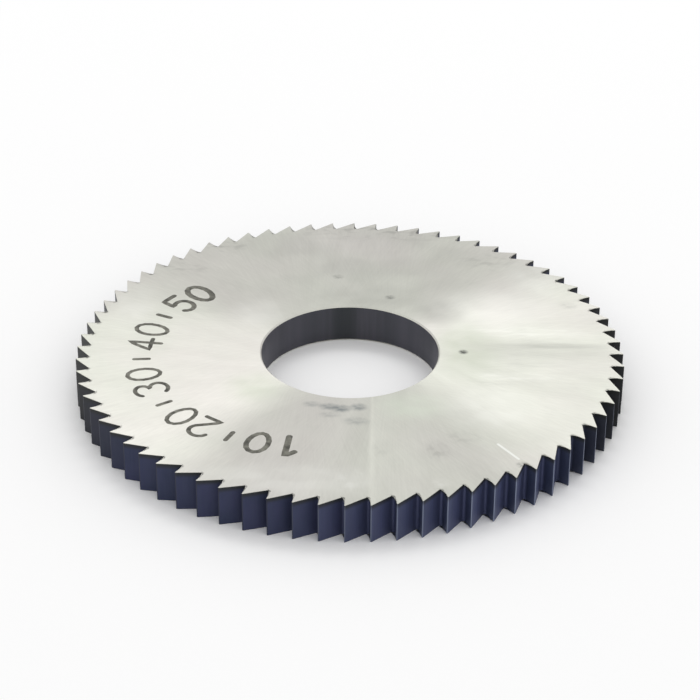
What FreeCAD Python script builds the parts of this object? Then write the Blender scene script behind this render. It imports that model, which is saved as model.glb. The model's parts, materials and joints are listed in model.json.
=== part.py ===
import FreeCAD, Part
import math
import os

import Sketcher

# A metal slitting saw: one disc of high-speed steel, with a plain arbor bore, hollow-ground
# sides and fine angular teeth milled straight across the rim. It lies flat on its side.
# Millimetres, +Z up. The origin is the centre of the bore, in the plane that the lower
# edges of the teeth rest on. The cutting edges point clockwise, seen from above.

doc = FreeCAD.newDocument("slitting_saw")

# Driving dimensions
SIZES = [
    ("outer_diameter", 40.0, "over the tooth tips"),
    ("rim_thickness", 3.0, "over the teeth, the width of the cut"),
    ("bore_diameter", 13.0, "arbor hole"),
    ("bore_chamfer", 0.1, "edge break at both mouths of the bore"),
    ("hub_diameter", 22.0, "flat land round the bore that the arbor flanges grip"),
    ("side_relief", 0.03, "how far each side is ground hollow at the hub"),
    ("tooth_count", 72, "teeth"),
    ("tooth_depth", 1.0, "from the tips to the bottom of the gullets"),
    ("rake_angle", 2.0, "degrees that a cutting face leans ahead of the radius"),
    ("tip_land", 0.08, "left of the outer circle behind each cutting edge"),
    ("gullet_radius", 0.15, "round at the bottom of a tooth gap"),
]

sheet = doc.addObject("Spreadsheet::Sheet", "Sizes")
for row, (alias, value, meaning) in enumerate(SIZES, start=1):
    sheet.set(f"A{row}", alias)
    sheet.set(f"B{row}", str(value))
    sheet.set(f"C{row}", meaning)
    sheet.setAlias(f"B{row}", alias)
doc.recompute()

UP = FreeCAD.Vector(0, 0, 1)
CENTRE_OF_BORE = FreeCAD.Vector(0, 0, 0)

# How Sketcher numbers the points of a line or an arc, and the sketch's own X axis
START, END, MIDDLE = range(1, 4)
X_AXIS = -1
ORIGIN = (X_AXIS, START)


def origin_feature(body, role):
    """The plane or axis of a body's own origin that has this role."""
    for feature in body.Origin.OriginFeatures:
        if feature.Role == role:
            return feature
    raise RuntimeError(f"{body.Label} has no {role}")


def sketch_on(body, plane, name):
    """A new sketch on one of the body's origin planes."""
    sketch = body.newObject("Sketcher::SketchObject", name)
    sketch.AttachmentSupport = (origin_feature(body, plane), [""])
    sketch.MapMode = "FlatFace"
    return sketch


def relate(sketch, kind, *where):
    """A constraint with no size, such as Horizontal or Tangent."""
    sketch.addConstraint(Sketcher.Constraint(kind, *where))


def dimension(sketch, name, kind, where, value, formula):
    """A named size, drawn at its present value and bound to the sheet by a formula."""
    index = sketch.addConstraint(Sketcher.Constraint(kind, *where, value))
    sketch.renameConstraint(index, name)
    sketch.setExpression(f"Constraints.{name}", formula)


def draw_section(body):
    """Half of the disc's section: a flat hub land, then sides that widen to the rim."""
    bore = sheet.bore_diameter / 2
    hub = sheet.hub_diameter / 2
    rim = sheet.outer_diameter / 2
    relief = sheet.side_relief
    top = sheet.rim_thickness

    corners = [
        FreeCAD.Vector(bore, relief, 0),
        FreeCAD.Vector(hub, relief, 0),
        FreeCAD.Vector(rim, 0, 0),
        FreeCAD.Vector(rim, top, 0),
        FreeCAD.Vector(hub, top - relief, 0),
        FreeCAD.Vector(bore, top - relief, 0),
    ]
    sketch = sketch_on(body, "XZ_Plane", "DiscSection")
    sides = range(len(corners))
    for side in sides:
        following = corners[(side + 1) % len(corners)]
        sketch.addGeometry(Part.LineSegment(corners[side], following), False)
    for side in sides:
        relate(sketch, "Coincident", side, END, (side + 1) % len(corners), START)

    hub_below, side_below, rim_edge, side_above, hub_above, bore_wall = sides
    relate(sketch, "Horizontal", hub_below)
    relate(sketch, "Horizontal", hub_above)
    relate(sketch, "Vertical", rim_edge)
    relate(sketch, "Vertical", bore_wall)
    relate(sketch, "Vertical", side_below, START, side_above, END)
    relate(sketch, "PointOnObject", rim_edge, START, X_AXIS)

    to_bore = (*ORIGIN, hub_below, START)
    to_hub = (*ORIGIN, hub_below, END)
    to_rim = (*ORIGIN, rim_edge, START)
    up_rim = (rim_edge, START, rim_edge, END)
    up_to_hub = (rim_edge, START, hub_below, END)
    hub_to_top = (hub_above, START, rim_edge, END)
    dimension(sketch, "bore", "DistanceX", to_bore, bore, "Sizes.bore_diameter / 2")
    dimension(sketch, "hub", "DistanceX", to_hub, hub, "Sizes.hub_diameter / 2")
    dimension(sketch, "rim", "DistanceX", to_rim, rim, "Sizes.outer_diameter / 2")
    dimension(sketch, "thickness", "DistanceY", up_rim, top, "Sizes.rim_thickness")
    dimension(sketch, "relief_below", "DistanceY", up_to_hub, relief, "Sizes.side_relief")
    dimension(sketch, "relief_above", "DistanceY", hub_to_top, relief, "Sizes.side_relief")
    return sketch


def turn_disc(body):
    """The plain disc, before its bore is chamfered and its teeth are cut."""
    disc = body.newObject("PartDesign::Revolution", "Disc")
    disc.Profile = draw_section(body)
    disc.ReferenceAxis = (origin_feature(body, "Z_Axis"), [""])
    doc.recompute()
    return disc


def break_bore_edges(body, disc):
    """The small chamfer at both mouths of the bore."""
    bore = sheet.bore_diameter / 2
    mouths = []
    for number, edge in enumerate(disc.Shape.Edges, start=1):
        is_circle = isinstance(edge.Curve, Part.Circle)
        if is_circle and abs(edge.Curve.Radius - bore) < Part.Precision.confusion():
            mouths.append(f"Edge{number}")
    chamfer = body.newObject("PartDesign::Chamfer", "BoreChamfer")
    chamfer.Base = (disc, mouths)
    chamfer.setExpression("Size", "Sizes.bore_chamfer")
    doc.recompute()


def around(angle, radius):
    """The point at an angle, in radians, and a distance from the blade's axis."""
    return FreeCAD.Vector(radius * math.cos(angle), radius * math.sin(angle), 0)


def turned(vector, angle):
    """A vector turned anticlockwise, seen from above, by an angle in radians."""
    return FreeCAD.Rotation(UP, math.degrees(angle)).multVec(vector)


def draw_tooth_gap(body):
    """The gap ahead of one tooth. That tooth's land lies across the X axis. Its cutting face
    runs inwards almost along the radius, an arc rounds the gullet, and a straight line
    climbs the back of the tooth ahead, up to the rear of its land. Past the outer circle
    the gap runs on by one tooth depth, so that the cut leaves nothing there."""
    rim = sheet.outer_diameter / 2
    depth = sheet.tooth_depth
    rake = math.radians(sheet.rake_angle)
    gullet_radius = sheet.gullet_radius
    half_land = math.asin(sheet.tip_land / sheet.outer_diameter)
    pitch = 2 * math.pi / sheet.tooth_count
    edge_angle = -half_land
    land_angle = half_land - pitch
    cutting_edge = around(edge_angle, rim)
    land_rear = around(land_angle, rim)

    # The gullet's centre lies its own radius off the cutting face, and as far from the
    # blade's axis as puts the bottom of the gullet at the tooth depth.
    centre_distance = rim - depth + gullet_radius
    inwards = turned(around(edge_angle, -1), -rake)
    off_face = turned(inwards, math.pi / 2) * gullet_radius
    beside_edge = cutting_edge + off_face
    nearest = -beside_edge.dot(inwards)
    half_chord = math.sqrt(centre_distance**2 - beside_edge.Length**2 + nearest**2)
    gullet_centre = beside_edge + inwards * (nearest - half_chord)
    face_foot = gullet_centre - off_face

    # The back is the tangent from the land ahead to the inner side of the gullet.
    to_land = land_rear - gullet_centre
    tangent_turn = math.acos(gullet_radius / to_land.Length)
    off_back = turned(to_land.normalize(), -tangent_turn) * gullet_radius
    back_foot = gullet_centre + off_back

    gullet_from = math.atan2(-off_face.y, -off_face.x)
    gullet_to = math.atan2(off_back.y, off_back.x) % (2 * math.pi)
    gullet_circle = Part.Circle(gullet_centre, UP, gullet_radius)
    edge_outside = around(edge_angle, rim + depth)
    land_outside = around(land_angle, rim + depth)

    sketch = sketch_on(body, "XY_Plane", "ToothGap")
    face = sketch.addGeometry(Part.LineSegment(cutting_edge, face_foot), False)
    gullet = sketch.addGeometry(Part.ArcOfCircle(gullet_circle, gullet_from, gullet_to), False)
    back = sketch.addGeometry(Part.LineSegment(back_foot, land_rear), False)
    out_ahead = sketch.addGeometry(Part.LineSegment(land_rear, land_outside), False)
    outside = sketch.addGeometry(Part.LineSegment(land_outside, edge_outside), False)
    out_behind = sketch.addGeometry(Part.LineSegment(edge_outside, cutting_edge), False)
    radius_behind = sketch.addGeometry(Part.LineSegment(CENTRE_OF_BORE, cutting_edge), True)
    radius_ahead = sketch.addGeometry(Part.LineSegment(CENTRE_OF_BORE, land_rear), True)

    relate(sketch, "Tangent", face, END, gullet, START)
    relate(sketch, "Tangent", gullet, END, back, START)
    relate(sketch, "Coincident", back, END, out_ahead, START)
    relate(sketch, "Coincident", out_ahead, END, outside, START)
    relate(sketch, "Coincident", outside, END, out_behind, START)
    relate(sketch, "Coincident", out_behind, END, face, START)
    relate(sketch, "Coincident", radius_behind, START, *ORIGIN)
    relate(sketch, "Coincident", radius_behind, END, face, START)
    relate(sketch, "Coincident", radius_ahead, START, *ORIGIN)
    relate(sketch, "Coincident", radius_ahead, END, back, END)
    relate(sketch, "Equal", radius_behind, radius_ahead)
    relate(sketch, "Parallel", out_behind, radius_behind)
    relate(sketch, "Parallel", out_ahead, radius_ahead)
    relate(sketch, "Equal", out_behind, out_ahead)

    land = "asin(Sizes.tip_land / Sizes.outer_diameter)"
    pitch_ahead = f"{land} - 360 deg / Sizes.tooth_count"
    gullet_ring = "Sizes.outer_diameter / 2 - Sizes.tooth_depth + Sizes.gullet_radius"
    face_to_radius = (face, START, radius_behind, END)
    to_gullet = (*ORIGIN, gullet, MIDDLE)
    dimension(sketch, "tips", "Distance", (radius_behind,), rim, "Sizes.outer_diameter / 2")
    dimension(sketch, "edge", "Angle", (radius_behind,), edge_angle, f"-{land}")
    dimension(sketch, "land_ahead", "Angle", (radius_ahead,), land_angle, pitch_ahead)
    dimension(sketch, "rake", "Angle", face_to_radius, rake, "Sizes.rake_angle")
    dimension(sketch, "gullet", "Radius", (gullet,), gullet_radius, "Sizes.gullet_radius")
    dimension(sketch, "gullet_ring", "Distance", to_gullet, centre_distance, gullet_ring)
    dimension(sketch, "overrun", "Distance", (out_behind,), depth, "Sizes.tooth_depth")
    return sketch


def cut_teeth(body):
    """One gap milled right through the rim, then repeated round the axis."""
    before = body.Tip.Shape.Volume
    gap = body.newObject("PartDesign::Pocket", "Gap")
    gap.Profile = draw_tooth_gap(body)
    gap.Type = "ThroughAll"
    gap.Reversed = True
    doc.recompute()
    if gap.Shape.isNull() or gap.Shape.Volume >= before:
        raise RuntimeError("the tooth gap cuts nothing")

    teeth = body.newObject("PartDesign::PolarPattern", "Teeth")
    teeth.Originals = [gap]
    teeth.Axis = (origin_feature(body, "Z_Axis"), [""])
    teeth.Angle = 360
    teeth.setExpression("Occurrences", "Sizes.tooth_count")
    body.Tip = teeth
    doc.recompute()


saw_blade = doc.addObject("PartDesign::Body", "saw_blade")
break_bore_edges(saw_blade, turn_disc(saw_blade))
cut_teeth(saw_blade)

# Every feature has to have worked before anything is written.
for item in doc.Objects:
    if "Invalid" in item.State or "Error" in item.State:
        raise RuntimeError(f"{item.Label} failed: {item.State}")
shape = saw_blade.Shape
if shape.isNull() or not shape.isValid() or len(shape.Solids) != 1:
    raise RuntimeError("the blade is not one valid solid")

os.makedirs("parts", exist_ok=True)
shape.exportStep(f"parts/{saw_blade.Label}.step")
box = shape.BoundBox
print(f"{saw_blade.Label}: {box.XLength:.3f} x {box.YLength:.3f} x {box.ZLength:.3f} mm")
print(f"volume {shape.Volume:.1f} mm3, {len(shape.Faces)} faces")
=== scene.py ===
import json
import math

import bmesh
import bpy
import numpy as np
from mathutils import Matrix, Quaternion, Vector


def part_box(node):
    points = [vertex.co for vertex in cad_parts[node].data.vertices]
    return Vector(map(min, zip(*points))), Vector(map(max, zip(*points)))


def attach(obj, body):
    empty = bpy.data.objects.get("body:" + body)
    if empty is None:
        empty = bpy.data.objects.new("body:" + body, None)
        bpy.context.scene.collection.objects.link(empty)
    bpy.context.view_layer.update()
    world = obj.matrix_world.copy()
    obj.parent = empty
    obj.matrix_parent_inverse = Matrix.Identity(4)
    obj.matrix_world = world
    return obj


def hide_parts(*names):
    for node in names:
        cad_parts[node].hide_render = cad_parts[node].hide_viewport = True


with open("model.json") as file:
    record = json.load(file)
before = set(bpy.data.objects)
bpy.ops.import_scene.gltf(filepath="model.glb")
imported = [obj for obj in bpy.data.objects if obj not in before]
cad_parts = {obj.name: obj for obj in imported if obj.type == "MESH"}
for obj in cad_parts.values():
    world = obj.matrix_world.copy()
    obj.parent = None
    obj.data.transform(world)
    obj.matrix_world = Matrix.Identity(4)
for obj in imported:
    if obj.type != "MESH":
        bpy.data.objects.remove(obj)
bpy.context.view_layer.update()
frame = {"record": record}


# The blade is one disc of hardened high-speed steel, bored for an arbor and ground on both
# sides so that they run slightly hollow towards the hub. The teeth are milled straight
# across the rim with one angular cutter, before the steel is hardened.
MM = 0.001
low_corner, high_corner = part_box("saw_blade")
mounts = {mount["name"]: mount for mount in frame["record"]["mounts"]}
tip_radius = (high_corner[0] - low_corner[0]) / 2 / MM
thickness = (high_corner[2] - low_corner[2]) / MM
bore_radius = mounts["arbor_bore"]["dims"]["r_mm"]
hub_height = mounts["upper_hub_face"]["pos_m"][2] / MM
side_relief = thickness - hub_height
hub_radius = 11.0
bore_chamfer = 0.1
tooth_count = 72
tooth_depth = 1.0
rake_angle = math.radians(2.0)
tip_land = 0.08
gullet_radius = 0.15
edge_break = 0.018
tip_runout = 0.012
gullet_scatter = 0.03
scatter_seed = 40
side_zone, gap_zone, face_zone, land_zone, bore_zone = range(5)


def side_height(radius):
    """Height of the upper side over the middle plane: level on the hub land, then rising in a
    straight line to the full width at the tooth tips."""
    rise = np.clip((radius - hub_radius) / (tip_radius - hub_radius), 0, 1)
    return thickness / 2 - side_relief * (1 - rise)


def turned(points, angle):
    """Points of the plane turned anticlockwise about the blade's axis."""
    cos, sin = np.cos(angle), np.sin(angle)
    x, y = points[..., 0], points[..., 1]
    return np.stack([x * cos - y * sin, x * sin + y * cos], -1)


def one_tooth():
    """Outline of one pitch, anticlockwise: down the straight back of the tooth ahead, round
    the gullet's arc, up the cutting face and over the land that lies across the X axis. With
    it comes each point's zone: the gap, the cutting face or the land. The gullet's centre is
    its radius off the cutting face and deep enough that the arc's bottom is at the tooth
    depth, and the back is the tangent from the land to that arc."""
    back_steps, arc_steps, face_steps, land_steps = 7, 8, 5, 2
    pitch = 2 * math.pi / tooth_count
    half_land = math.asin(tip_land / 2 / tip_radius)
    rim_point = np.array([tip_radius, 0.0])
    cutting_edge = turned(rim_point, -half_land)
    land_rear = turned(rim_point, half_land - pitch)
    inwards = turned(-rim_point / tip_radius, -half_land - rake_angle)
    off_face = turned(inwards, math.pi / 2) * gullet_radius
    beside_edge = cutting_edge + off_face
    centre_distance = tip_radius - tooth_depth + gullet_radius
    nearest = -beside_edge @ inwards
    half_chord = math.sqrt(centre_distance**2 - beside_edge @ beside_edge + nearest**2)
    centre = beside_edge + inwards * (nearest - half_chord)
    to_land = land_rear - centre
    tangent_turn = math.acos(gullet_radius / math.hypot(*to_land))
    off_back = turned(to_land / math.hypot(*to_land), -tangent_turn) * gullet_radius

    def between(start, end, steps):
        share = np.linspace(0, 1, steps, endpoint=False)[:, None]
        return start + (end - start) * share

    arc_start = math.atan2(off_back[1], off_back[0]) % (2 * math.pi)
    arc_end = math.atan2(-off_face[1], -off_face[0])
    arc = np.linspace(arc_start, arc_end, arc_steps, endpoint=False)
    gullet = centre + gullet_radius * np.stack([np.cos(arc), np.sin(arc)], -1)
    back = between(land_rear, centre + off_back, back_steps)
    face = between(centre - off_face, cutting_edge, face_steps)
    land = between(cutting_edge, turned(cutting_edge, 2 * half_land), land_steps)
    zones = [gap_zone, gap_zone, face_zone, land_zone]
    steps = [back_steps, arc_steps, face_steps, land_steps]
    return np.concatenate([back, gullet, face, land]), np.repeat(zones, steps)


def rim_outline():
    """The tooth outline repeated round the axis. Each tip stands a few microns short of the
    full radius and each gullet a little deep or shallow, as a worn cutter leaves them."""
    tooth, tooth_zones = one_tooth()
    scatter = np.random.default_rng(scatter_seed)
    tip_drop = scatter.uniform(0, tip_runout, tooth_count)
    gullet_drop = scatter.uniform(-gullet_scatter, gullet_scatter, tooth_count)
    radius = np.hypot(tooth[:, 0], tooth[:, 1])
    depth_share = (tip_radius - radius) / tooth_depth
    along = np.linspace(0, 1, len(tooth))
    drop = (
        np.roll(tip_drop, 1)[:, None] * (1 - along)
        + tip_drop[:, None] * along
        + gullet_drop[:, None] * depth_share
    )
    angles = 2 * math.pi * np.arange(tooth_count) / tooth_count
    turns = turned(np.broadcast_to(tooth, (tooth_count, *tooth.shape)), angles[:, None])
    shrink = 1 - drop / radius
    return (turns * shrink[..., None]).reshape(-1, 2), np.tile(tooth_zones, tooth_count)


def inset_outline(outline, distance):
    """The outline moved inwards by a distance, with mitred corners."""
    forward = np.roll(outline, -1, 0) - outline
    forward /= np.hypot(forward[:, 0], forward[:, 1])[:, None]
    outward = np.stack([forward[:, 1], -forward[:, 0]], -1)
    before = np.roll(outward, 1, 0)
    mitre = (before + outward) / (1 + np.sum(before * outward, 1))[:, None]
    return outline - mitre * distance


def make_mesh(name, points, faces, materials, face_materials):
    """A mesh from an array of points in millimetres and an array of faces. It is smooth but
    for the edges where it turns by more than an angle."""
    sharp_turn = math.radians(25)
    mesh = bpy.data.meshes.new(name)
    mesh.from_pydata(points * MM, [], faces.tolist())
    for material in materials:
        mesh.materials.append(material)
    mesh.polygons.foreach_set("material_index", face_materials)
    mesh.polygons.foreach_set("use_smooth", np.ones(len(faces), bool))
    mesh.set_sharp_from_angle(angle=sharp_turn)
    mesh.update()
    made = bpy.data.objects.new(name, mesh)
    bpy.context.scene.collection.objects.link(made)
    return made


def grid_faces(rows, columns):
    """Faces of a grid that closes on itself both ways, wound to face outwards."""
    row, column = np.meshgrid(np.arange(rows), np.arange(columns), indexing="ij")
    next_row, next_column = (row + 1) % rows, (column + 1) % columns
    corners = [
        row * columns + column,
        next_row * columns + column,
        next_row * columns + next_column,
        row * columns + next_column,
    ]
    return np.stack(corners, -1).reshape(-1, 4)


def linear(hex_colour):
    """A colour written as sRGB hex, as the linear values that a shader takes."""
    parts = [int(hex_colour[i : i + 2], 16) / 255 for i in (1, 3, 5)]
    return [c / 12.92 if c <= 0.04045 else ((c + 0.055) / 1.055) ** 2.4 for c in parts] + [1]


def add(tree, kind, inputs=None, output=0, **settings):
    """Adds a node with its settings and returns one of its outputs. An input is a value or
    the output that feeds it."""
    node = tree.nodes.new(kind)
    for name, value in settings.items():
        setattr(node, name, value)
    for key, value in (inputs or {}).items():
        if isinstance(value, bpy.types.NodeSocket):
            tree.links.new(value, node.inputs[key])
        else:
            node.inputs[key].default_value = value
    return node.outputs[output] if len(node.outputs) else None


def new_material(name):
    """An empty node material: its tree, and a point's place on the blade in millimetres."""
    material = bpy.data.materials.new(name)
    material.use_nodes = True
    tree = material.node_tree
    tree.nodes.clear()
    metres = add(tree, "ShaderNodeTexCoord", output="Object")
    place = add(tree, "ShaderNodeVectorMath", {0: metres, "Scale": 1 / MM}, operation="SCALE")
    return material, tree, place


def from_axis(tree, place):
    """A point's distance from the blade's axis, and the direction that it lies in."""
    flat = add(tree, "ShaderNodeVectorMath", {0: place, 1: (1, 1, 0)}, operation="MULTIPLY")
    radius = add(tree, "ShaderNodeVectorMath", {0: flat}, "Value", operation="LENGTH")
    return radius, add(tree, "ShaderNodeVectorMath", {0: flat}, operation="NORMALIZE")


def cut_line(tree, radius, compass, offset, way):
    """Which of the cup wheel's cuts a point lies on, as a direction. Each cut is straight and
    passes the axis at an offset, so its direction from the axis turns by the arc cosine of
    offset over radius. That turn, added back, is the same all along a cut."""
    share = add(tree, "ShaderNodeMath", {0: offset, 1: radius}, operation="DIVIDE")
    turn = add(tree, "ShaderNodeMath", {0: share}, operation="ARCCOSINE")
    signed = add(tree, "ShaderNodeMath", {0: turn, 1: way}, operation="MULTIPLY")
    inputs = {"Vector": compass, "Angle": signed}
    return add(tree, "ShaderNodeVectorRotate", inputs, rotation_type="Z_AXIS")


def cut_noise(tree, line, radius, cuts_per_radian, change_per_mm, seed):
    """Noise that differs from cut to cut and changes slowly along each of them."""
    along = add(tree, "ShaderNodeMath", {0: radius, 1: change_per_mm}, operation="MULTIPLY")
    lift = add(tree, "ShaderNodeCombineXYZ", {"Z": along})
    inputs = {0: line, 1: (cuts_per_radian,) * 3, 2: lift}
    spot = add(tree, "ShaderNodeVectorMath", inputs, operation="MULTIPLY_ADD")
    inputs = {"Vector": spot, "W": seed, "Scale": 1.0, "Detail": 3.0, "Roughness": 0.6}
    return add(tree, "ShaderNodeTexNoise", inputs, noise_dimensions="4D")


def spot_mask(tree, place, centre, size, grain, patchy):
    """One near a point of the upper side, fading to zero at a size along X and along Y, and
    a millimetre below that side. Soft noise, with its own grain along X and Y, thins it in
    patches, the more so the patchier it is."""
    full_share = 0.2
    inputs = {0: place, 1: (*centre, thickness)}
    from_centre = add(tree, "ShaderNodeVectorMath", inputs, operation="SUBTRACT")
    inputs = {0: from_centre, 1: (1 / size[0], 1 / size[1], 1)}
    scaled = add(tree, "ShaderNodeVectorMath", inputs, operation="MULTIPLY")
    away = add(tree, "ShaderNodeVectorMath", {0: scaled}, "Value", operation="LENGTH")
    inputs = {"Value": away, 1: full_share, 2: 1.0, 3: 1.0, 4: 0.0}
    fade = add(tree, "ShaderNodeMapRange", inputs, interpolation_type="SMOOTHSTEP")
    inputs = {0: from_centre, 1: (1 / grain[0], 1 / grain[1], 0)}
    grains = add(tree, "ShaderNodeVectorMath", inputs, operation="MULTIPLY")
    noise = add(tree, "ShaderNodeTexNoise", {"Vector": grains, "Scale": 1.0, "Detail": 1.0})
    thin_below = 0.35 + 0.15 * patchy
    full_above = thin_below + 0.2
    inputs = {"Value": noise, 1: thin_below, 2: full_above, 3: 1.0 - patchy, 4: 1.0}
    patches = add(tree, "ShaderNodeMapRange", inputs, interpolation_type="SMOOTHSTEP")
    return add(tree, "ShaderNodeMath", {0: fade, 1: patches}, operation="MULTIPLY")


def scratch_mask(tree, place, start, end, width):
    """One on a straight scratch and zero past a width on each side of its line. The nearest
    point of the scratch is the foot of the perpendicular, held between the two ends."""
    full_share = 0.3
    start, end = Vector(start), Vector(end)
    run = end - start
    from_start = add(tree, "ShaderNodeVectorMath", {0: place, 1: start}, operation="SUBTRACT")
    inputs = {0: from_start, 1: run / run.length_squared}
    share = add(tree, "ShaderNodeVectorMath", inputs, "Value", operation="DOT_PRODUCT")
    held = add(tree, "ShaderNodeClamp", {"Value": share})
    foot = add(tree, "ShaderNodeVectorMath", {0: tuple(run), "Scale": held}, operation="SCALE")
    inputs = {0: from_start, 1: foot}
    away = add(tree, "ShaderNodeVectorMath", inputs, "Value", operation="DISTANCE")
    inputs = {"Value": away, 1: width * full_share, 2: width, 3: 1.0, 4: 0.0}
    return add(tree, "ShaderNodeMapRange", inputs, interpolation_type="SMOOTHSTEP")


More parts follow.
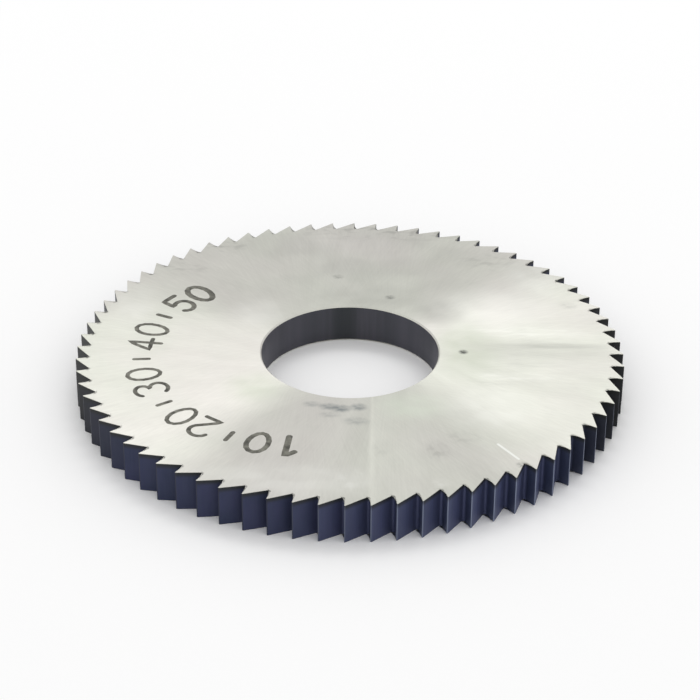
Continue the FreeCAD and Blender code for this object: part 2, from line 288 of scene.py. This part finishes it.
def ground_steel():
    """Ground high-speed steel: a bright, faintly warm grey metal. Its fine cuts spread a
    highlight across them, so the disc shows pale and grey sectors that turn with the light.
    The cuts are a few hundredths of a millimetre apart and are drawn three times as coarse.
    One fine pale line from the bore to the rim is where the wheel began and ended its turn.
    Stains, rub marks and one scratch lie over the ground finish of the upper side, and
    patches of painted shade and painted highlight darken its back and shift the edges of
    its bright sectors."""
    material, tree, place = new_material("ground_high_speed_steel")
    radius, compass = from_axis(tree, place)
    wheel_offset = 3.0
    line = cut_line(tree, radius, compass, wheel_offset, way=1)
    crossing = cut_line(tree, radius, compass, wheel_offset, way=-1)
    fine = cut_noise(tree, line, radius, cuts_per_radian=110, change_per_mm=0.35, seed=1.0)
    second = cut_noise(tree, crossing, radius, cuts_per_radian=90, change_per_mm=0.35, seed=2.0)
    sweep = cut_noise(tree, line, radius, cuts_per_radian=7, change_per_mm=0.10, seed=3.0)
    both = add(tree, "ShaderNodeMath", {0: fine, 1: second}, operation="ADD")
    cloud_inputs = {"Vector": place, "Scale": 0.22, "Detail": 4.0, "Roughness": 0.55}
    cloud = add(tree, "ShaderNodeTexNoise", cloud_inputs)
    swept = add(tree, "ShaderNodeMath", {0: sweep, 1: cloud}, operation="ADD")

    inputs = {"Value": both, 1: 0.65, 2: 1.35, 3: 0.0, 4: 1.0}
    tone = add(tree, "ShaderNodeMapRange", inputs)
    inputs = {"Factor": tone, "A": linear("#d2d1cb"), "B": linear("#dcdbd5")}
    steel = add(tree, "ShaderNodeMix", inputs, 2, data_type="RGBA")

    seam_offset = 1.7
    past_seam = cut_line(tree, radius, compass, seam_offset, way=1)
    along_x = add(tree, "ShaderNodeSeparateXYZ", {0: past_seam}, "X")
    along_y = add(tree, "ShaderNodeSeparateXYZ", {0: past_seam}, "Y")
    angle = add(tree, "ShaderNodeMath", {0: along_y, 1: along_x}, operation="ARCTAN2")
    inputs = {"Value": angle, 1: -math.pi, 2: math.pi, 3: 0.0, 4: 1.0}
    turn_share = add(tree, "ShaderNodeMapRange", inputs)
    level = add(tree, "ShaderNodeValToRGB", {"Fac": turn_share})
    shares = (0.0, 0.45, 0.4975, 0.499, 0.5005, 0.502, 0.56)
    greys = (0.5, 0.5, 0.44, 0.82, 0.82, 0.6, 0.5)
    stops = level.node.color_ramp.elements
    for share in shares[1:-1]:
        stops.new(share)
    for stop, share, grey in zip(stops, shares, greys):
        stop.position = share
        stop.color = (grey, grey, grey, 1)
    inputs = {"Value": level, 1: 0.0, 2: 1.0, 3: 0.84, 4: 1.16}
    seam = add(tree, "ShaderNodeMapRange", inputs)
    inputs = {"Value": cloud, 1: 0.35, 2: 0.65, 3: 0.94, 4: 1.05}
    clouded = add(tree, "ShaderNodeMapRange", inputs)
    both_tones = add(tree, "ShaderNodeMath", {0: seam, 1: clouded}, operation="MULTIPLY")
    inputs = {0: steel, "Scale": both_tones}
    toned = add(tree, "ShaderNodeVectorMath", inputs, operation="SCALE")
    drift = add(tree, "ShaderNodeTexNoise", {"Vector": place, "Scale": 0.13, "Detail": 1.0})
    inputs = {"Value": drift, 1: 0.35, 2: 0.65, 3: 0.0, 4: 1.0}
    share = add(tree, "ShaderNodeMapRange", inputs)
    inputs = {"Factor": share, "A": linear("#fffdfd"), "B": linear("#fdfffb")}
    tint = add(tree, "ShaderNodeMix", inputs, 2, data_type="RGBA")
    colour = add(tree, "ShaderNodeVectorMath", {0: toned, 1: tint}, operation="MULTIPLY")

    # Each mark has a colour and its strength, a place on the upper side, how far it reaches
    # and how coarse it is along X and along Y, all in millimetres, and how patchy it is.
    dark, blue = "#4a4c4a", "#56646c"
    pale, green, sage = "#f2f2ec", "#e8f1e0", "#bcc3b1"
    marks = (
        (sage, 0.50, (8.60, 0.40), (3.40, 6.20), (2.00, 2.00), 0.3),
        (sage, 0.45, (-6.70, -5.20), (3.00, 2.80), (2.00, 2.00), 0.3),
        (dark, 0.95, (8.29, -0.01), (0.46, 0.42), (0.25, 0.25), 0.3),
        (dark, 0.55, (2.91, 7.97), (0.50, 0.45), (0.30, 0.30), 0.5),
        (dark, 0.35, (-1.13, 11.09), (0.60, 0.50), (0.30, 0.30), 0.5),
        (dark, 0.45, (11.91, -14.86), (0.60, 0.55), (0.30, 0.30), 0.6),
        (dark, 0.20, (6.19, -13.25), (1.10, 1.70), (0.60, 0.90), 0.7),
        (dark, 0.13, (7.98, -11.61), (1.70, 1.20), (0.80, 0.60), 0.7),
        (dark, 0.10, (2.38, -13.22), (0.90, 1.50), (0.60, 0.80), 0.7),
        (blue, 0.32, (-2.58, -7.47), (0.85, 0.55), (0.50, 0.40), 0.4),
        (blue, 0.52, (-1.38, -7.77), (0.95, 0.62), (0.50, 0.40), 0.4),
        (blue, 0.64, (-0.50, -8.01), (0.95, 0.68), (0.50, 0.40), 0.4),
        (blue, 0.56, (0.73, -7.79), (0.80, 0.68), (0.50, 0.40), 0.4),
        (blue, 0.28, (0.56, -9.62), (1.30, 0.75), (0.60, 0.40), 0.5),
        (blue, 0.22, (-1.30, -8.83), (1.10, 0.55), (0.60, 0.40), 0.5),
        (dark, 0.22, (-10.67, 15.94), (3.60, 1.70), (1.20, 0.50), 0.9),
        (dark, 0.16, (-13.42, 12.12), (3.20, 1.70), (1.20, 0.50), 0.9),
        (dark, 0.24, (2.90, 18.77), (11.0, 2.20), (1.40, 0.60), 0.9),
        (dark, 0.15, (10.50, 13.81), (3.20, 2.20), (1.30, 0.70), 0.8),
        # Painted shade: this wide soft darkening over the back of the upper side.
        (dark, 0.14, (-0.15, 14.23), (17.0, 11.0), (5.00, 4.00), 0.5),
        (dark, 0.16, (16.40, 7.00), (0.90, 0.70), (0.40, 0.40), 0.6),
        (dark, 0.13, (13.60, 0.20), (8.00, 2.40), (4.00, 0.90), 0.3),
        (dark, 0.18, (14.90, 1.00), (5.60, 0.60), (3.00, 0.35), 0.3),
        (dark, 0.10, (13.15, -1.75), (3.00, 0.60), (1.40, 0.30), 0.7),
        (dark, 0.09, (10.45, -4.32), (1.80, 0.60), (0.90, 0.30), 0.7),
        (pale, 0.34, (10.03, 6.10), (6.50, 4.60), (3.00, 2.00), 0.3),
        (pale, 0.36, (13.01, 2.89), (6.00, 1.20), (2.50, 0.50), 0.7),
        (pale, 0.36, (11.75, -3.42), (4.20, 0.90), (1.80, 0.50), 0.7),
        (pale, 0.40, (0.27, -17.11), (1.70, 2.30), (0.80, 1.20), 0.8),
        (pale, 0.36, (6.37, -17.19), (0.90, 0.80), (0.50, 0.50), 0.6),
        (green, 0.40, (4.50, -7.60), (3.40, 2.40), (2.00, 1.40), 0.3),
        # Painted light and shade: the pale and dark patches from here to the table's end shift the
        # edges of the bright sectors.
        (pale, 0.40, (-6.90, 5.30), (2.80, 2.80), (2.00, 2.00), 0.3),
        (dark, 0.22, (6.60, 5.60), (2.80, 2.80), (2.00, 2.00), 0.3),
        (dark, 0.13, (1.40, 7.90), (6.50, 2.40), (3.00, 1.50), 0.3),
        (pale, 0.45, (-4.50, -17.10), (8.50, 3.00), (3.00, 1.50), 0.4),
        (pale, 0.36, (14.00, 11.20), (3.20, 4.20), (2.00, 2.00), 0.4),
        (pale, 0.36, (10.10, -7.90), (4.50, 4.00), (2.50, 2.00), 0.4),
        (pale, 0.34, (-16.40, 6.60), (2.60, 4.00), (2.00, 2.00), 0.4),
    )
    for mark_colour, strength, centre, size, grain, patchy in marks:
        mask = spot_mask(tree, place, centre, size, grain, patchy)
        share = add(tree, "ShaderNodeMath", {0: mask, 1: strength}, operation="MULTIPLY")
        inputs = {"Factor": share, "A": colour, "B": linear(mark_colour)}
        colour = add(tree, "ShaderNodeMix", inputs, 2, data_type="RGBA")
    scratch_start = (10.37, -12.31, thickness)
    scratch_end = (11.70, -14.13, thickness)
    scratch = scratch_mask(tree, place, scratch_start, scratch_end, width=0.14)
    inputs = {"Factor": scratch, "A": colour, "B": linear("#f2f3ee")}
    colour = add(tree, "ShaderNodeMix", inputs, 2, data_type="RGBA")

    inputs = {"Value": swept, 1: 0.75, 2: 1.25, 3: 0.34, 4: 0.43}
    roughness = add(tree, "ShaderNodeMapRange", inputs)
    inputs = {"Height": both, "Strength": 0.2, "Distance": 0.004 * MM}
    bump = add(tree, "ShaderNodeBump", inputs)
    tangent = add(tree, "ShaderNodeTangent", direction_type="RADIAL", axis="Z")
    inputs = {
        "Base Color": colour,
        "Metallic": 1.0,
        "Roughness": roughness,
        "Anisotropic": 1.0,
        "Normal": bump,
        "Tangent": tangent,
    }
    shader = add(tree, "ShaderNodeBsdfPrincipled", inputs)
    add(tree, "ShaderNodeOutputMaterial", {"Surface": shader})
    return material


def across_rim(tree, place, lines_per_mm, seed):
    """Noise in lines that run straight across the rim, as a milling cutter leaves them."""
    inputs = {0: place, 1: (lines_per_mm, lines_per_mm, lines_per_mm * 0.04)}
    stretched = add(tree, "ShaderNodeVectorMath", inputs, operation="MULTIPLY")
    inputs = {"Vector": stretched, "W": seed, "Scale": 1.0, "Detail": 3.0}
    return add(tree, "ShaderNodeTexNoise", inputs, noise_dimensions="4D")


def near_top(tree, place):
    """Zero over most of the rim's height, rising to one just under the upper side."""
    fade_start = thickness - 0.5
    fade_end = thickness - 0.1
    inputs = {0: place, 1: (0, 0, 1)}
    height = add(tree, "ShaderNodeVectorMath", inputs, "Value", operation="DOT_PRODUCT")
    inputs = {"Value": height, 1: fade_start, 2: fade_end, 3: 0.0, 4: 1.0}
    return add(tree, "ShaderNodeMapRange", inputs, interpolation_type="SMOOTHSTEP")


def painted_light_front_right(tree, compass):
    """Painted light: one towards the front right of the rim, fading to zero 50 degrees round the
    rim from there.
    """
    most_lit = (0.6, -0.8, 0)
    edge = math.cos(math.radians(50))
    inputs = {0: compass, 1: most_lit}
    towards = add(tree, "ShaderNodeVectorMath", inputs, "Value", operation="DOT_PRODUCT")
    inputs = {"Value": towards, 1: edge, 2: 1.0, 3: 0.0, 4: 1.0}
    return add(tree, "ShaderNodeMapRange", inputs)


def sideways(tree, vector):
    """How far a vector reaches to the left or to the right."""
    flat = add(tree, "ShaderNodeVectorMath", {0: vector, 1: (1, 0, 0)}, operation="MULTIPLY")
    return add(tree, "ShaderNodeVectorMath", {0: flat}, "Value", operation="LENGTH")


def gap_oxide(name, dark_blue, violet, painted_light_blue):
    """The tooth gaps: milled walls left dark by the heat treatment, under a blue-black film of
    oxide. Its colour drifts from tooth to tooth. Painted light makes it paler at the front right
    of the rim, and a painted reflection paler still towards the tips there. Painted shade turns
    it a neutral black to the left, to the right and just under the upper side, and a little
    darker at the gullets."""
    reflection_from = tip_radius - 0.5
    reflection_to = tip_radius - 0.05
    gullet_bottom = tip_radius - tooth_depth
    gullet_shade_end = gullet_bottom + 0.45
    material, tree, place = new_material(name)
    radius, compass = from_axis(tree, place)
    lines = across_rim(tree, place, lines_per_mm=5.0, seed=5.0)
    drift = add(tree, "ShaderNodeTexNoise", {"Vector": place, "Scale": 0.35, "Detail": 2.0})
    inputs = {"Value": drift, 1: 0.38, 2: 0.62, 3: 0.0, 4: 1.0}
    hue = add(tree, "ShaderNodeMapRange", inputs)
    inputs = {"Factor": hue, "A": linear(dark_blue), "B": linear(violet)}
    blue = add(tree, "ShaderNodeMix", inputs, 2, data_type="RGBA")
    # Painted light: the oxide turns paler towards the front right of the rim.
    painted_light = painted_light_front_right(tree, compass)
    inputs = {"Factor": painted_light, "A": blue, "B": linear(painted_light_blue)}
    blue = add(tree, "ShaderNodeMix", inputs, 2, data_type="RGBA")
    # Painted reflection: paler still towards the tips in that patch.
    inputs = {"Value": radius, 1: reflection_from, 2: reflection_to, 3: 0.0, 4: 0.3}
    outer = add(tree, "ShaderNodeMapRange", inputs)
    lightened = add(tree, "ShaderNodeMath", {0: outer, 1: painted_light}, operation="MULTIPLY")
    inputs = {"Factor": lightened, "A": blue, "B": linear("#6c7488")}
    blue = add(tree, "ShaderNodeMix", inputs, 2, data_type="RGBA")
    inputs = {"Factor": lines, "A": blue, "B": linear("#3a4058")}
    milled = add(tree, "ShaderNodeMix", inputs, 2, data_type="RGBA")
    # Painted shade: a neutral black towards the left and right of the rim.
    inputs = {"Value": sideways(tree, compass), 1: 0.75, 2: 0.97, 3: 0.0, 4: 0.85}
    painted_side_shade = add(tree, "ShaderNodeMapRange", inputs)
    inputs = {"Factor": painted_side_shade, "A": milled, "B": linear("#30302a")}
    milled = add(tree, "ShaderNodeMix", inputs, 2, data_type="RGBA")
    # Painted shade: darker at the gullets and just under the upper side.
    inputs = {"Value": radius, 1: gullet_bottom, 2: gullet_shade_end, 3: 0.12, 4: 0.0}
    painted_gullet_shade = add(tree, "ShaderNodeMapRange", inputs)
    inputs = {"Value": near_top(tree, place), 1: 0.0, 2: 1.0, 3: 0.0, 4: 0.9}
    edge = add(tree, "ShaderNodeMapRange", inputs)
    dark = add(tree, "ShaderNodeMath", {0: painted_gullet_shade, 1: edge}, operation="MAXIMUM")
    inputs = {"Factor": dark, "A": milled, "B": linear("#2a2c2a")}
    base = add(tree, "ShaderNodeMix", inputs, 2, data_type="RGBA")
    inputs = {"Height": lines, "Strength": 0.4, "Distance": 0.01 * MM}
    bump = add(tree, "ShaderNodeBump", inputs)
    inputs = {"Base Color": base, "Metallic": 0.25, "Roughness": 0.5, "Normal": bump}
    inputs["Specular IOR Level"] = 0.3
    shader = add(tree, "ShaderNodeBsdfPrincipled", inputs)
    add(tree, "ShaderNodeOutputMaterial", {"Surface": shader})
    return material


def land_with_painted_highlight():
    """The narrow lands at the tooth tips: the same oxide, with a painted highlight that shows each
    tip as a narrow blue-grey line at the front right of the rim, and painted shade just under
    the upper side."""
    material, tree, place = new_material("land_oxide_with_painted_highlight")
    _, compass = from_axis(tree, place)
    lines = across_rim(tree, place, lines_per_mm=9.0, seed=6.0)
    inputs = {"Factor": lines, "A": linear("#242838"), "B": linear("#34384a")}
    oxide = add(tree, "ShaderNodeMix", inputs, 2, data_type="RGBA")
    # Painted highlight: the land turns pale blue-grey towards the front right of the rim.
    inputs = {"Factor": painted_light_front_right(tree, compass), "A": oxide, "B": linear("#7a8298")}
    lightened = add(tree, "ShaderNodeMix", inputs, 2, data_type="RGBA")
    # Painted shade just under the upper side.
    inputs = {"Value": near_top(tree, place), 1: 0.0, 2: 1.0, 3: 0.0, 4: 0.6}
    edge = add(tree, "ShaderNodeMapRange", inputs)
    inputs = {"Factor": edge, "A": lightened, "B": linear("#2a2b30")}
    base = add(tree, "ShaderNodeMix", inputs, 2, data_type="RGBA")
    inputs = {"Base Color": base, "Metallic": 0.25, "Roughness": 0.5}
    inputs["Specular IOR Level"] = 0.3
    shader = add(tree, "ShaderNodeBsdfPrincipled", inputs)
    add(tree, "ShaderNodeOutputMaterial", {"Surface": shader})
    return material


def bore_steel():
    """The bore: a reamed wall under a dark grey oxide, with soft paler stripes along it. Its
    left and right sides are painted paler, as painted light."""
    material, tree, place = new_material("reamed_dark_steel")
    fine = across_rim(tree, place, lines_per_mm=4.0, seed=7.0)
    stripes = across_rim(tree, place, lines_per_mm=0.45, seed=8.0)
    inputs = {"Value": stripes, 1: 0.40, 2: 0.62, 3: 0.0, 4: 1.0}
    lightened = add(tree, "ShaderNodeMapRange", inputs, interpolation_type="SMOOTHSTEP")
    inputs = {"Factor": lightened, "A": linear("#2e3236"), "B": linear("#56545e")}
    wall = add(tree, "ShaderNodeMix", inputs, 2, data_type="RGBA")
    inputs = {"Factor": fine, "A": wall, "B": linear("#3a3c40")}
    wall = add(tree, "ShaderNodeMix", inputs, 2, data_type="RGBA")
    # Painted light: the wall turns paler towards its left and right sides.
    inputs = {"Value": sideways(tree, place), 1: 0.4, 2: 4.0, 3: 0.0, 4: 0.45}
    painted_side_light = add(tree, "ShaderNodeMapRange", inputs, interpolation_type="SMOOTHSTEP")
    inputs = {"Factor": painted_side_light, "A": wall, "B": linear("#5e5d68")}
    base = add(tree, "ShaderNodeMix", inputs, 2, data_type="RGBA")
    inputs = {"Height": fine, "Strength": 0.3, "Distance": 0.008 * MM}
    bump = add(tree, "ShaderNodeBump", inputs)
    inputs = {"Base Color": base, "Metallic": 0.5, "Roughness": 0.45, "Normal": bump}
    shader = add(tree, "ShaderNodeBsdfPrincipled", inputs)
    add(tree, "ShaderNodeOutputMaterial", {"Surface": shader})
    return material


def make_blade():
    """A closed section carried round the axis. Its rows run up the bore, outwards over the
    upper side, down the rim and back inwards over the lower side. Near the bore a row is
    a circle; towards the rim it turns into the tooth outline in three steps."""
    hub_rings, side_rings = 6, 9
    steps_to_teeth = (0.35, 0.7, 1.0)
    outline, rim_zones = rim_outline()
    columns = len(outline)
    inner = inset_outline(outline, edge_break)
    spread = 2 * math.pi * (np.arange(columns) - columns / tooth_count + 1) / columns
    circle = np.stack([np.cos(spread), np.sin(spread)], -1)
    root_radius = tip_radius - tooth_depth - gullet_radius - gullet_scatter

    hub_radii = np.linspace(bore_radius + bore_chamfer, hub_radius, hub_rings)
    side_radii = np.linspace(hub_radius, root_radius, side_rings)[1:]
    rings = [circle * radius for radius in (*hub_radii, *side_radii)]
    rings += [rings[-1] * (1 - share) + inner * share for share in steps_to_teeth]
    side = np.stack(rings)
    side_z = side_height(np.hypot(side[..., 0], side[..., 1]))
    rim_z = side_height(np.hypot(outline[:, 0], outline[:, 1])) - edge_break
    bore = circle * bore_radius
    bore_z = np.full(columns, side_height(bore_radius) - bore_chamfer)

    upper = [np.dstack([bore[None], bore_z[None]]), np.dstack([side, side_z])]
    upper.append(np.dstack([outline[None], rim_z[None]]))
    upper = np.concatenate(upper)
    lower = upper[::-1] * (1, 1, -1)
    section = np.concatenate([upper, lower]) + (0, 0, thickness / 2)
    rows = len(section)

    zone = np.full((rows, columns), side_zone)
    zone[len(upper) - 1] = rim_zones
    zone[rows - 1] = bore_zone
    # The cutting faces get their own copy of the gap oxide, with colours set apart from the backs'
    # as painted light and shade.
    gap = gap_oxide("heat_treated_oxide_with_painted_light", "#272f4a", "#353758", "#545a80")
    cutting_face = gap_oxide("oxide_on_cutting_faces_with_painted_light", "#323b56", "#404260", "#3c4460")
    materials = [ground_steel(), gap, cutting_face, land_with_painted_highlight(), bore_steel()]
    return make_mesh(
        "ground_saw_blade",
        section.reshape(-1, 3),
        grid_faces(rows, columns),
        materials,
        zone.ravel(),
    )


blade = make_blade()
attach(blade, "root")
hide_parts("saw_blade")


# The numerals are drawn on the upper side with an electric etching pen: thin dark strokes
# with rounded ends, heavier towards both ends of the row, that sit on the ground steel.
numeral_text = "10 20 30 40 50"
numeral_height = 2.4
numeral_pitch = 2.147
numeral_centre = (-2.80, -0.63)
numeral_radius = 12.37
first_numeral = math.radians(5.6)
stroke_width = 0.32
heavier_ends = 0.14
stroke_rise = 0.004


def straight(*corners):
    """Points of a line through some corners, evenly spaced between each two."""
    share = np.linspace(0, 1, 5, endpoint=False)[:, None]
    runs = [np.array(a) + (np.array(b) - a) * share for a, b in zip(corners, corners[1:])]
    return np.concatenate([*runs, [corners[-1]]])


def bowl(centre, across, up, start, end):
    """Points of a stretch of an ellipse, from one angle to another in degrees."""
    angle = np.radians(np.linspace(start, end, 15))
    return np.stack([centre[0] + across * np.cos(angle), centre[1] + up * np.sin(angle)], -1)


def numeral_strokes(digit):
    """The pen's paths for a digit, one unit high and centred on its slot. Between two
    numbers there is a short tick, as on a dial."""
    if digit == "0":
        return [bowl((0, 0.5), 0.31, 0.5, 95, 452)]
    if digit == "1":
        return [straight((-0.2, 0.78), (0.04, 1.0), (0.04, 0.0))]
    if digit == "2":
        top = bowl((0, 0.72), 0.29, 0.28, 165, -35)
        return [np.concatenate([top, straight((0.08, 0.38), (-0.3, 0.0), (0.32, 0.0))])]
    if digit == "3":
        upper = bowl((-0.02, 0.76), 0.27, 0.24, 150, -80)
        lower = bowl((-0.02, 0.27), 0.31, 0.27, 75, -150)
        return [np.concatenate([upper, lower])]
    if digit == "4":
        return [straight((0.1, 0.0), (0.1, 1.0), (-0.32, 0.3), (0.34, 0.3))]
    if digit == "5":
        top = straight((0.26, 1.0), (-0.2, 1.0), (-0.25, 0.58))
        return [np.concatenate([top, bowl((-0.01, 0.33), 0.3, 0.32, 125, -145)])]
    return [straight((0.0, 0.72), (0.0, 0.28))]


def on_the_blade(points, slot):
    """Puts a digit's points in their slot: along the row is clockwise round the row's own
    centre, and up the digit is away from that centre."""
    angle = first_numeral + (slot * numeral_pitch + points[:, 0] * numeral_height) / numeral_radius
    radius = numeral_radius + (points[:, 1] - 0.5) * numeral_height
    x = numeral_centre[0] - radius * np.sin(angle)
    y = numeral_centre[1] - radius * np.cos(angle)
    return np.stack([x, y], -1)


def pen_stroke(path, width):
    """A low rounded ridge along a path: its section is an ellipse as wide as the pen, and
    past each end it narrows along a quarter circle to a single point."""
    cap_steps, sides = 4, 10
    ahead = np.gradient(path, axis=0)
    ahead /= np.hypot(ahead[:, 0], ahead[:, 1])[:, None]
    cap = np.linspace(0, math.pi / 2, cap_steps + 1)[:-1]
    start = path[0] - ahead[0] * np.cos(cap)[:, None] * width / 2
    end = path[-1] + ahead[-1] * np.cos(cap[::-1])[:, None] * width / 2
    middle = np.concatenate([start, path, end])
    first, last = np.repeat(ahead[:1], cap_steps, 0), np.repeat(ahead[-1:], cap_steps, 0)
    ahead = np.concatenate([first, ahead, last])
    share = np.concatenate([np.sin(cap), np.ones(len(path)), np.sin(cap[::-1])])
    beside = np.stack([-ahead[:, 1], ahead[:, 0]], -1)
    around = np.linspace(0, 2 * math.pi, sides, endpoint=False)
    offset = beside[:, None] * (share[:, None] * np.cos(around) * width / 2)[..., None]
    flat = middle[:, None] + offset
    height = side_height(np.hypot(flat[..., 0], flat[..., 1])) + thickness / 2
    height = height + share[:, None] * np.sin(around) * stroke_rise
    return np.dstack([flat, height])


def etched_oxide():
    """Etched marks: matt grey-brown oxide, uneven along each stroke."""
    material, tree, place = new_material("etched_oxide")
    uneven = add(tree, "ShaderNodeTexNoise", {"Vector": place, "Scale": 2.2, "Detail": 4.0})
    inputs = {"Value": uneven, 1: 0.35, 2: 0.65, 3: 0.0, 4: 1.0}
    share = add(tree, "ShaderNodeMapRange", inputs)
    inputs = {"Factor": share, "A": linear("#46453e"), "B": linear("#7d7c72")}
    base = add(tree, "ShaderNodeMix", inputs, 2, data_type="RGBA")
    inputs = {"Base Color": base, "Metallic": 0.2, "Roughness": 0.7}
    shader = add(tree, "ShaderNodeBsdfPrincipled", inputs)
    add(tree, "ShaderNodeOutputMaterial", {"Surface": shader})
    return material


def make_numerals():
    """All strokes of the row as one mesh, with the points at each stroke's ends welded."""
    weld_distance = 0.0001 * MM
    points, faces = [], []
    count = 0
    for slot, digit in enumerate(numeral_text):
        from_middle = 2 * slot / (len(numeral_text) - 1) - 1
        width = stroke_width + heavier_ends * from_middle**4
        for path in numeral_strokes(digit):
            ridge = pen_stroke(on_the_blade(path, slot), width)
            rows, columns = ridge.shape[:2]
            points.append(ridge.reshape(-1, 3))
            wound = grid_faces(rows, columns).reshape(rows, columns, 4)[:-1].reshape(-1, 4)
            faces.append(wound + count)
            count += rows * columns
    material = etched_oxide()
    faces = np.concatenate(faces)
    made = make_mesh(
        "etched_numerals", np.concatenate(points), faces, [material], np.zeros(len(faces), int)
    )
    welded = bmesh.new()
    welded.from_mesh(made.data)
    bmesh.ops.remove_doubles(welded, verts=welded.verts, dist=weld_distance)
    bmesh.ops.recalc_face_normals(welded, faces=welded.faces)
    welded.to_mesh(made.data)
    welded.free()
    return made


numerals = make_numerals()
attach(numerals, "root")


# The floor is a wide pale sheet. It keeps the soft shadow that the blade throws, and away
# from the blade it turns into the white of the background, so no horizon shows.
def seen_directly(tree):
    """One for a ray that shows the background: to the camera, in a reflection or through."""
    paths = tree.nodes.new("ShaderNodeLightPath").outputs
    inputs = {0: paths["Is Camera Ray"], 1: paths["Is Glossy Ray"]}
    either = add(tree, "ShaderNodeMath", inputs, operation="MAXIMUM")
    inputs = {0: either, 1: paths["Is Transmission Ray"]}
    return add(tree, "ShaderNodeMath", inputs, operation="MAXIMUM")


def make_floor():
    """A flat square sheet in the plane that the teeth rest on."""
    reach = 3.0
    shadow_reach = 0.05
    white_from = 0.125
    mesh = bpy.data.meshes.new("floor")
    corners = [(-reach, -reach, 0), (reach, -reach, 0), (reach, reach, 0), (-reach, reach, 0)]
    mesh.from_pydata(corners, [], [(0, 1, 2, 3)])
    floor = bpy.data.objects.new("floor", mesh)
    bpy.context.scene.collection.objects.link(floor)
    material = bpy.data.materials.new("pale_floor")
    material.use_nodes = True
    tree = material.node_tree
    tree.nodes.clear()
    seen = seen_directly(tree)
    inputs = {"Factor": seen, "A": linear("#e6e6e6"), "B": linear("#ffffff")}
    colour = add(tree, "ShaderNodeMix", inputs, 2, data_type="RGBA")
    sheet = add(tree, "ShaderNodeBsdfDiffuse", {"Color": colour})
    white = add(tree, "ShaderNodeEmission", {"Color": linear("#ffffff"), "Strength": 1.0})
    place = add(tree, "ShaderNodeTexCoord", output="Object")
    away = add(tree, "ShaderNodeVectorMath", {0: place}, "Value", operation="LENGTH")
    inputs = {"Value": away, 1: shadow_reach, 2: white_from, 3: 0.0, 4: 1.0}
    far = add(tree, "ShaderNodeMapRange", inputs, interpolation_type="SMOOTHSTEP")
    share = add(tree, "ShaderNodeMath", {0: seen, 1: far}, operation="MULTIPLY")
    shader = add(tree, "ShaderNodeMixShader", {0: share, 1: sheet, 2: white})
    add(tree, "ShaderNodeOutputMaterial", {"Surface": shader})
    mesh.materials.append(material)
    return floor


make_floor()


# Plain soft studio light: one wide strip above and behind the blade, and a white surround
# that lights it from all sides.
panel_place = (0.05, 0.35, 0.6)
panel_size = (0.45, 0.16)
panel_watts = 0.73
surround_light = 0.86

lamp = bpy.data.lights.new("strip_panel", "AREA")
lamp.shape = "RECTANGLE"
lamp.size, lamp.size_y = panel_size
lamp.energy = panel_watts
panel = bpy.data.objects.new("strip_panel", lamp)
panel.location = panel_place
panel.rotation_euler = (-Vector(panel_place)).to_track_quat("-Z", "Y").to_euler()
bpy.context.scene.collection.objects.link(panel)

world = bpy.data.worlds.new("white_surround")
bpy.context.scene.world = world
world.use_nodes = True
tree = world.node_tree
tree.nodes.clear()
inputs = {"Value": seen_directly(tree), 1: 0.0, 2: 1.0, 3: surround_light, 4: 1.0}
strength = add(tree, "ShaderNodeMapRange", inputs)
inputs = {"Color": linear("#ffffff"), "Strength": strength}
surround = add(tree, "ShaderNodeBackground", inputs)
add(tree, "ShaderNodeOutputWorld", {"Surface": surround})

bpy.context.scene.view_settings.view_transform = "Standard"


# The camera looks along +Y and down on the upper side, as in the photograph. It is as near
# as the spread of the teeth round the rim shows, with the blade filling the frame.
elevation = math.radians(30.8)
azimuth = math.radians(0.75)
distance = 0.1692
roll = math.radians(0.44)
lens_mm = 118.8
nearest_seen = 0.01

aim = Vector((0, 0, thickness * MM))
level = Vector((math.sin(azimuth), -math.cos(azimuth), 0)) * math.cos(elevation)
backwards = level + Vector((0, 0, math.sin(elevation)))
camera = bpy.data.objects.new("camera", bpy.data.cameras.new("camera"))
camera.data.lens = lens_mm
camera.data.clip_start = nearest_seen
camera.location = aim + backwards * distance
turn = (-backwards).to_track_quat("-Z", "Y") @ Quaternion((0, 0, 1), roll)
camera.rotation_euler = turn.to_euler()
bpy.context.scene.collection.objects.link(camera)
bpy.context.scene.camera = camera
